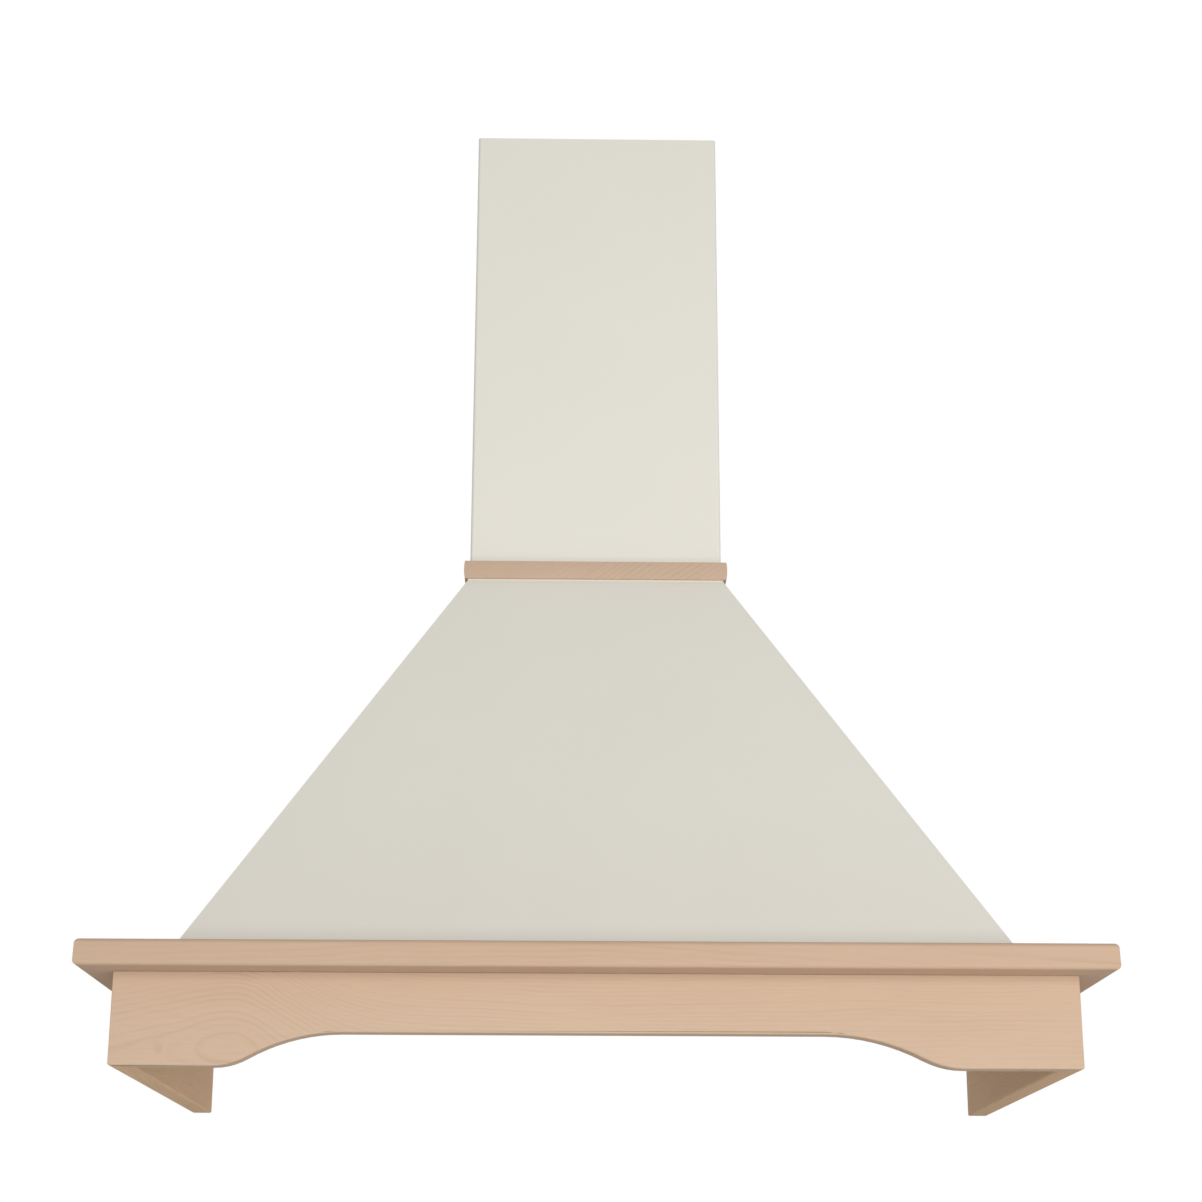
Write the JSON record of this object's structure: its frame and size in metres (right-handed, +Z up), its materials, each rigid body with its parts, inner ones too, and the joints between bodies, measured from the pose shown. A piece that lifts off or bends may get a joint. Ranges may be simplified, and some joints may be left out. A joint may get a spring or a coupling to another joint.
{
  "type": "wooden range hood cover",
  "caption": "Wall-mounted chimney cooker hood with a raw wood cornice, arched wood apron, tapered cream metal canopy, wood collar and telescopic chimney.",
  "frame": {"origin": "middle of the four wall-screw holes, on the wall plane", "axes": "+Z up, +Y into the wall, +X to the viewer's right"},
  "size_m": [0.9, 0.52, 1.018],
  "materials": {
    "wood": "raw, fine sanded pale hardwood",
    "frame_wood": "raw planed softwood",
    "cream_paint": "smooth satin powder coat, cream",
    "galvanised": "zinc coated sheet",
    "pan_paint": "smooth satin powder coat, cream",
    "steel": "zinc plated",
    "aluminium": "satin",
    "lamp_metal": "satin chrome",
    "lens": "frosted",
    "black_plastic": "fine texture",
    "housing_plastic": "satin, cream",
    "white_plastic": "satin",
    "button_plastic": "semi-gloss grey",
    "circuit_board": "green board",
    "motor_metal": "dark grey enamel"
  },
  "bodies": {
    "hood": {"cornice_front": "wood", "cornice_left": "wood", "cornice_right": "wood", "mitre_splines": "wood", "apron_front": "wood", "apron_left": "wood", "apron_right": "wood", "collar_front": "wood", "collar_left": "wood", "collar_right": "wood", "rear_rail": "frame_wood", "rail_dowels": "frame_wood", "battens": "frame_wood", "canopy_front": "cream_paint", "canopy_left": "cream_paint", "canopy_right": "cream_paint", "canopy_top": "cream_paint", "chimney_lower": "cream_paint", "wall_plate": "galvanised", "chimney_guide_bracket": "galvanised", "blower_scroll": "galvanised", "blower_inlet_plate": "galvanised", "blower_motor_plate": "galvanised", "blower_bracket": "galvanised", "top_plate_angles": "galvanised", "bottom_pan": "pan_paint", "batten_screws": "steel", "canopy_screws": "steel", "collar_screws": "steel", "blower_screws": "steel", "damper_pin": "steel", "lamp_left": "lamp_metal", "lamp_right": "lamp_metal", "lamp_left_lens": "lens", "lamp_right_lens": "lens", "duct_spigot": "black_plastic", "junction_box": "black_plastic", "cable_gland": "black_plastic", "control_housing": "housing_plastic", "lamp_driver": "white_plastic", "control_board": "circuit_board", "motor": "motor_metal"},
    "chimney_slide_body": {"chimney_upper": "cream_paint", "ceiling_bracket": "galvanised"},
    "filter_left": {"filter_left_frame": "aluminium", "filter_left_mesh": "aluminium"},
    "filter_right": {"filter_right_frame": "aluminium", "filter_right_mesh": "aluminium"},
    "filter_left_catch": {"filter_left_latch": "black_plastic"},
    "filter_right_catch": {"filter_right_latch": "black_plastic"},
    "fan_rotor": {"impeller": "galvanised", "impeller_blades": "galvanised", "motor_shaft": "steel"},
    "damper_front": {"damper_flap_front": "black_plastic"},
    "damper_rear": {"damper_flap_rear": "black_plastic"},
    "button_light_cap": {"button_light": "button_plastic"},
    "button_off_cap": {"button_off": "button_plastic"},
    "button_low_cap": {"button_low": "button_plastic"},
    "button_medium_cap": {"button_medium": "button_plastic"},
    "button_high_cap": {"button_high": "button_plastic"}
  },
  "joints": [
    {"name": "chimney_extend", "type": "slide", "parent": "hood", "child": "chimney_slide_body", "axis": [0, 0, 1], "range_m": [0, 0.35]},
    {"name": "filter_left_tilt", "type": "hinge", "parent": "hood", "child": "filter_left", "pos_m": [0, -0.05, -0.175], "axis": [1, 0, 0], "range_deg": [0, 70]},
    {"name": "filter_left_latch_slide", "type": "slide", "parent": "filter_left", "child": "filter_left_catch", "axis": [0, 1, 0], "range_m": [0, 0.006], "stiffness_N_per_m": 300, "springref_m": -0.001},
    {"name": "filter_right_tilt", "type": "hinge", "parent": "hood", "child": "filter_right", "pos_m": [0, -0.05, -0.175], "axis": [1, 0, 0], "range_deg": [0, 70]},
    {"name": "filter_right_latch_slide", "type": "slide", "parent": "filter_right", "child": "filter_right_catch", "axis": [0, 1, 0], "range_m": [0, 0.006], "stiffness_N_per_m": 300, "springref_m": -0.001},
    {"name": "button_light_press", "type": "slide", "parent": "hood", "child": "button_light_cap", "axis": [0, 0, 1], "range_m": [0, 0.003], "stiffness_N_per_m": 250, "springref_m": -0.001},
    {"name": "button_off_press", "type": "slide", "parent": "hood", "child": "button_off_cap", "axis": [0, 0, 1], "range_m": [0, 0.003], "stiffness_N_per_m": 250, "springref_m": -0.001},
    {"name": "button_low_press", "type": "slide", "parent": "hood", "child": "button_low_cap", "axis": [0, 0, 1], "range_m": [0, 0.003], "stiffness_N_per_m": 250, "springref_m": -0.001},
    {"name": "button_medium_press", "type": "slide", "parent": "hood", "child": "button_medium_cap", "axis": [0, 0, 1], "range_m": [0, 0.003], "stiffness_N_per_m": 250, "springref_m": -0.001},
    {"name": "button_high_press", "type": "slide", "parent": "hood", "child": "button_high_cap", "axis": [0, 0, 1], "range_m": [0, 0.003], "stiffness_N_per_m": 250, "springref_m": -0.001},
    {"name": "fan_spin", "type": "hinge", "parent": "hood", "child": "fan_rotor", "pos_m": [0, -0.1925, 0.005], "axis": [1, 0, 0], "continuous": true},
    {"name": "damper_front_swing", "type": "hinge", "parent": "hood", "child": "damper_front", "pos_m": [0, -0.1115, 0.2708], "axis": [-1, 0, 0], "range_deg": [0, 70]},
    {"name": "damper_rear_swing", "type": "hinge", "parent": "hood", "child": "damper_rear", "pos_m": [0, -0.1115, 0.2708], "axis": [1, 0, 0], "range_deg": [0, 70]}
  ]
}
